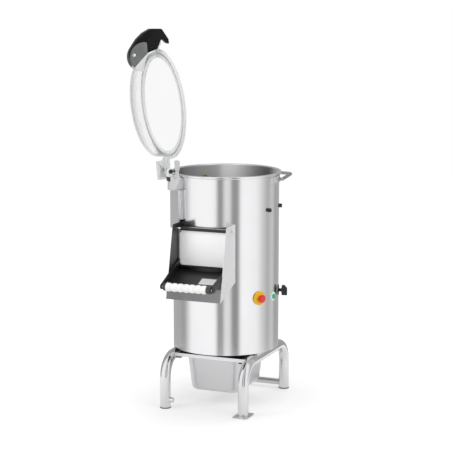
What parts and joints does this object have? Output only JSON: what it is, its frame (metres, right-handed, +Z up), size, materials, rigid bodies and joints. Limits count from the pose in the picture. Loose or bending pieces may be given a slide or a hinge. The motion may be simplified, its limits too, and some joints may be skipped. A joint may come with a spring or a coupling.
{
  "type": "electric potato peeler",
  "caption": "Floor-standing potato peeler: steel drum with an abrasive disc on a tube stand, hinged clear lid, lifting discharge door, push and rotary controls, peel tray.",
  "frame": {"origin": "on the floor under the drum's axis, which is also the middle of the four floor bolts", "axes": "+Z up along the drum's axis, -Y to the front where the chute and the tray come out, +X to the side with the controls"},
  "size_m": [0.6019, 0.6675, 1.4825],
  "materials": {
    "satin_steel": "satin",
    "bright_steel": "polished",
    "tray_steel": "satin",
    "machine_steel": "ground",
    "cast_housing": "cast",
    "motor_paint": "satin",
    "abrasive": "coarse grit",
    "belt_rubber": "matte",
    "clear_plastic": "clear, slightly frosted",
    "pale_seal": "matte",
    "black_plastic": "satin",
    "grey_plastic": "matte",
    "white_plastic": "satin",
    "yellow_plastic": "satin",
    "red_plastic": "gloss",
    "green_plastic": "gloss",
    "brass": "turned"
  },
  "bodies": {
    "frame": {"barrel_shell": "satin_steel", "base_plate": "satin_steel", "drum_floor": "satin_steel", "abrasive_liner": "abrasive", "drain_pipe": "satin_steel", "stand_loop_left": "bright_steel", "stand_loop_right": "bright_steel", "cross_rails": "tray_steel", "rear_brace": "tray_steel", "foot_caps": "belt_rubber", "foot_plates": "bright_steel", "mounting_pads": "satin_steel", "tray_runners": "tray_steel", "motor": "motor_paint", "motor_plate": "satin_steel", "drive_belt": "belt_rubber", "bearing_housing": "cast_housing", "shaft_bearings": "machine_steel", "shaft_seal": "belt_rubber", "chute_side_left": "satin_steel", "chute_side_right": "satin_steel", "chute_floor": "satin_steel", "door_frame": "satin_steel", "door_hinge_rod": "bright_steel", "hinge_bracket": "satin_steel", "hinge_knuckles": "bright_steel", "hinge_pin": "bright_steel", "cable_duct": "satin_steel", "lid_sensor": "grey_plastic", "catch_bow": "bright_steel", "catch_plates": "satin_steel", "stop_base": "yellow_plastic", "start_bezel": "white_plastic", "timer_base": "black_plastic", "side_bumpers": "black_plastic", "water_inlet": "brass", "control_box": "grey_plastic", "screws": "bright_steel"},
    "disc": {"abrasive_disc": "abrasive", "disc_cap": "satin_steel", "drive_shaft": "machine_steel", "driven_pulley": "cast_housing"},
    "motor_rotor": {"motor_pulley": "cast_housing"},
    "lid": {"lid_ring": "clear_plastic", "lid_seal": "pale_seal", "lid_dome": "clear_plastic", "lid_hinge_arm": "clear_plastic", "latch_cheeks": "grey_plastic", "latch_pin": "bright_steel"},
    "latch": {"latch_lever": "black_plastic"},
    "door": {"door_panel": "tray_steel", "door_gasket": "belt_rubber", "handle_bar": "black_plastic", "handle_grip": "white_plastic", "handle_clamps": "grey_plastic", "grip_rod": "bright_steel"},
    "peel_tray": {"tray": "tray_steel"},
    "stop_head": {"stop_button": "red_plastic"},
    "start_head": {"start_button": "green_plastic"},
    "timer_dial": {"timer_knob": "black_plastic"}
  },
  "joints": [
    {"name": "lid_hinge", "type": "hinge", "parent": "frame", "child": "lid", "pos_m": [-0.1713, -0.19024, 0.938], "axis": [0.7431, -0.6691, 0], "range_deg": [-94.8, 0]},
    {"name": "latch_pivot", "type": "hinge", "parent": "lid", "child": "latch", "pos_m": [-0.26383, -0.29301, 1.385], "axis": [0.7431, -0.6691, 0], "range_deg": [-6, 14]},
    {"name": "door_hinge", "type": "hinge", "parent": "frame", "child": "door", "pos_m": [0, -0.221, 0.72], "axis": [-1, 0, 0], "range_deg": [0, 75]},
    {"name": "tray_slide", "type": "slide", "parent": "frame", "child": "peel_tray", "axis": [0, -1, 0], "range_m": [0, 0.24]},
    {"name": "disc_spin", "type": "hinge", "parent": "frame", "child": "disc", "pos_m": [0, 0, 0.556], "axis": [0, 0, 1], "continuous": true},
    {"name": "motor_spin", "type": "hinge", "parent": "frame", "child": "motor_rotor", "pos_m": [0, 0.112, 0.2717], "axis": [0, 0, 1], "continuous": true},
    {"name": "stop_push", "type": "slide", "parent": "frame", "child": "stop_head", "axis": [-0.866, 0.5, 0], "range_m": [0, 0.004], "stiffness_N_per_m": 900},
    {"name": "start_push", "type": "slide", "parent": "frame", "child": "start_head", "axis": [-0.9903, 0.1392, 0], "range_m": [0, 0.0025], "stiffness_N_per_m": 700},
    {"name": "timer_turn", "type": "hinge", "parent": "frame", "child": "timer_dial", "pos_m": [0.22693, 0.04824, 0.451], "axis": [-0.9781, -0.2079, 0], "range_deg": [0, 300]}
  ],
  "couplings": [
    {"joint": "motor_spin", "follows": "disc_spin", "ratio": 3}
  ]
}
